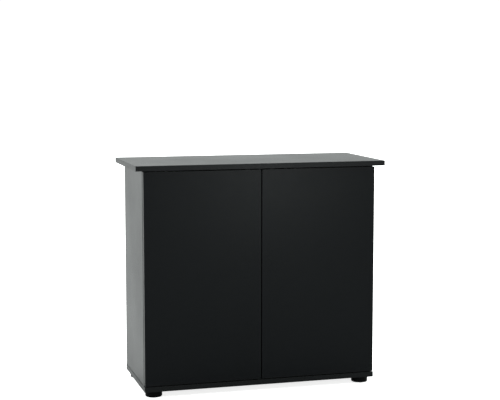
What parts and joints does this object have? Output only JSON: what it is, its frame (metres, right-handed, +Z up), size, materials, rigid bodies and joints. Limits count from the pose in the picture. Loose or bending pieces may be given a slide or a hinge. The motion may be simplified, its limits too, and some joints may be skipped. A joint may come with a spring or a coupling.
{
  "type": "aquarium stand cabinet",
  "caption": "Black two-door aquarium stand cabinet with an overhanging top, a shelf, hose ports behind, push latches and levelling feet.",
  "frame": {"origin": "on the floor at the middle of the footprint, feet screwed fully in", "axes": "+X towards the cabinet's right-hand side seen from the front, +Y towards its back, +Z up; the doors face -Y"},
  "size_m": [0.81, 0.36, 0.73],
  "materials": {
    "black_board": "satin black melamine-faced chipboard",
    "black_edge_band": "satin",
    "nickelled_steel": "nickel plated",
    "zinc_plated_steel": "zinc plated",
    "beech": "raw",
    "grey_plastic": "fine texture",
    "black_plastic": "moulded, slightly shiny"
  },
  "bodies": {
    "cabinet": {"back_panel": "black_board", "back_panel_screws": "zinc_plated_steel", "base_panel": "black_board", "base_panel_edging": "black_edge_band", "base_screws": "zinc_plated_steel", "cam_bolts": "zinc_plated_steel", "cam_locks": "nickelled_steel", "centre_partition": "black_board", "foot_sockets": "zinc_plated_steel", "hinge_arm_screws": "nickelled_steel", "hinge_mounting_plates": "nickelled_steel", "hinge_plate_screws": "nickelled_steel", "latch_screws": "zinc_plated_steel", "left_latch_housing": "grey_plastic", "left_lower_hinge_arm": "nickelled_steel", "left_side_panel": "black_board", "left_upper_hinge_arm": "nickelled_steel", "right_latch_housing": "grey_plastic", "right_lower_hinge_arm": "nickelled_steel", "right_side_panel": "black_board", "right_upper_hinge_arm": "nickelled_steel", "shelf": "black_board", "shelf_edging": "black_edge_band", "shelf_pins": "nickelled_steel", "top_panel": "black_board", "top_panel_edging": "black_edge_band", "upright_edging": "black_edge_band", "wooden_dowels": "beech"},
    "left_door": {"left_door_panel": "black_board", "left_door_edging": "black_edge_band", "left_lower_hinge_cup": "nickelled_steel", "left_upper_hinge_cup": "nickelled_steel", "left_door_hinge_pins": "nickelled_steel", "left_cup_screws": "nickelled_steel", "left_strike_plate": "nickelled_steel", "left_strike_screw": "zinc_plated_steel"},
    "left_push_latch_plunger": {"left_latch_plunger": "grey_plastic", "left_latch_magnet": "nickelled_steel"},
    "right_door": {"right_door_panel": "black_board", "right_door_edging": "black_edge_band", "right_lower_hinge_cup": "nickelled_steel", "right_upper_hinge_cup": "nickelled_steel", "right_door_hinge_pins": "nickelled_steel", "right_cup_screws": "nickelled_steel", "right_strike_plate": "nickelled_steel", "right_strike_screw": "zinc_plated_steel"},
    "right_push_latch_plunger": {"right_latch_plunger": "grey_plastic", "right_latch_magnet": "nickelled_steel"},
    "front_left_levelling_foot": {"front_left_foot": "black_plastic", "front_left_foot_stud": "zinc_plated_steel"},
    "front_right_levelling_foot": {"front_right_foot": "black_plastic", "front_right_foot_stud": "zinc_plated_steel"},
    "rear_left_levelling_foot": {"rear_left_foot": "black_plastic", "rear_left_foot_stud": "zinc_plated_steel"},
    "rear_right_levelling_foot": {"rear_right_foot": "black_plastic", "rear_right_foot_stud": "zinc_plated_steel"}
  },
  "joints": [
    {"name": "left_door_hinge", "type": "hinge", "parent": "cabinet", "child": "left_door", "pos_m": [-0.3705, -0.15325, 0.375], "axis": [0, 0, -1], "range_deg": [0, 95]},
    {"name": "right_door_hinge", "type": "hinge", "parent": "cabinet", "child": "right_door", "pos_m": [0.3705, -0.15325, 0.375], "axis": [0, 0, 1], "range_deg": [0, 95]},
    {"name": "left_plunger_slide", "type": "slide", "parent": "cabinet", "child": "left_push_latch_plunger", "axis": [0, -1, 0], "range_m": [0, 0.02]},
    {"name": "right_plunger_slide", "type": "slide", "parent": "cabinet", "child": "right_push_latch_plunger", "axis": [0, -1, 0], "range_m": [0, 0.02]},
    {"name": "front_left_foot_height", "type": "slide", "parent": "cabinet", "child": "front_left_levelling_foot", "axis": [0, 0, -1], "range_m": [0, 0.008]},
    {"name": "front_right_foot_height", "type": "slide", "parent": "cabinet", "child": "front_right_levelling_foot", "axis": [0, 0, -1], "range_m": [0, 0.008]},
    {"name": "rear_left_foot_height", "type": "slide", "parent": "cabinet", "child": "rear_left_levelling_foot", "axis": [0, 0, -1], "range_m": [0, 0.008]},
    {"name": "rear_right_foot_height", "type": "slide", "parent": "cabinet", "child": "rear_right_levelling_foot", "axis": [0, 0, -1], "range_m": [0, 0.008]}
  ],
  "couplings": [
    {"joint": "left_plunger_slide", "follows": "left_door_hinge", "m_per_rad": 0.012061},
    {"joint": "right_plunger_slide", "follows": "right_door_hinge", "m_per_rad": 0.012061}
  ]
}
